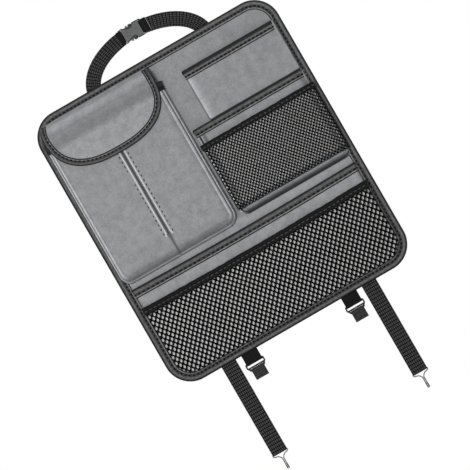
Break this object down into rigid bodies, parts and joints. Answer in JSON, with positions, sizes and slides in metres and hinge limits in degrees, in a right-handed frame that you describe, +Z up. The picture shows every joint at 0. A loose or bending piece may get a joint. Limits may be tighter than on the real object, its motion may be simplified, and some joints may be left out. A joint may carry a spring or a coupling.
{
  "type": "car seat back organizer",
  "caption": "Stiffened seat-back panel with a flapped tissue pocket, layered leatherette and net pockets, a buckled headrest strap and lower straps with hooks and sliders.",
  "frame": {"origin": "middle of the panel's flat back, which lies against the seat", "axes": "+Z up as the part hangs, +Y out of the flat back towards the seat, +X to the viewer's right"},
  "size_m": [0.415, 0.0429, 0.704],
  "materials": {
    "grey_leatherette": "mid grey PU leatherette with a fine pressed grain, satin",
    "back_fabric": "dark grey felted backing cloth, matt",
    "board_plastic": "off-white extruded polypropylene sheet",
    "binding_tape": "dark grey woven edge binding with a dark stitch line",
    "piping_tape": "light grey rolled edging along the slit",
    "hook_and_loop": "black hook-and-loop tape",
    "net": "black knitted diamond net",
    "elastic_band": "black ribbed elastic band",
    "webbing": "black ribbed polypropylene webbing",
    "grey_plastic": "mid grey moulded acetal, satin",
    "black_plastic": "black moulded nylon, satin",
    "nickel_wire": "bent spring wire, nickel plated"
  },
  "bodies": {
    "root": {"back_cover": "back_fabric", "stiffener_board": "board_plastic", "front_cover": "grey_leatherette", "edge_binding": "binding_tape", "tissue_pocket": "grey_leatherette", "tissue_pocket_binding": "binding_tape", "slit_piping_left": "piping_tape", "slit_piping_right": "piping_tape", "tissue_flap": "grey_leatherette", "flap_binding": "binding_tape", "pocket_loop_patch": "hook_and_loop", "flap_hook_patch": "hook_and_loop", "card_pocket": "grey_leatherette", "card_pocket_binding": "binding_tape", "bellows_pocket": "grey_leatherette", "bellows_pocket_binding": "binding_tape", "wide_pocket": "grey_leatherette", "wide_pocket_binding": "binding_tape", "mesh_pocket_upper": "net", "mesh_band_upper": "elastic_band", "mesh_pocket_lower": "net", "mesh_band_lower": "elastic_band", "handle_strap_left": "webbing", "handle_strap_right": "webbing", "buckle_housing": "grey_plastic", "buckle_plug": "grey_plastic", "long_strap_left": "webbing", "long_strap_right": "webbing", "slider_tab_left": "webbing", "slider_tab_right": "webbing"},
    "hook_left": {"wire_hook_left": "nickel_wire"},
    "slider_left": {"slider_left": "black_plastic"},
    "tail_left": {"slider_tail_left": "webbing"},
    "hook_right": {"wire_hook_right": "nickel_wire"},
    "slider_right": {"slider_right": "black_plastic"},
    "tail_right": {"slider_tail_right": "webbing"}
  },
  "joints": [
    {"name": "hook_left_swing", "type": "hinge", "parent": "root", "child": "hook_left", "pos_m": [-0.1225, -0.0033, -0.3855], "axis": [1, 0, 0], "range_deg": [-120, 120]},
    {"name": "slider_left_swing", "type": "hinge", "parent": "root", "child": "slider_left", "pos_m": [-0.0872, -0.0033, -0.2475], "axis": [1, 0, 0], "range_deg": [-90, 90]},
    {"name": "tail_left_swing", "type": "hinge", "parent": "slider_left", "child": "tail_left", "pos_m": [-0.0872, -0.0033, -0.2584], "axis": [1, 0, 0], "range_deg": [-90, 90]},
    {"name": "hook_right_swing", "type": "hinge", "parent": "root", "child": "hook_right", "pos_m": [0.1225, -0.0033, -0.3855], "axis": [1, 0, 0], "range_deg": [-120, 120]},
    {"name": "slider_right_swing", "type": "hinge", "parent": "root", "child": "slider_right", "pos_m": [0.0872, -0.0033, -0.2475], "axis": [1, 0, 0], "range_deg": [-90, 90]},
    {"name": "tail_right_swing", "type": "hinge", "parent": "slider_right", "child": "tail_right", "pos_m": [0.0872, -0.0033, -0.2584], "axis": [1, 0, 0], "range_deg": [-90, 90]}
  ]
}
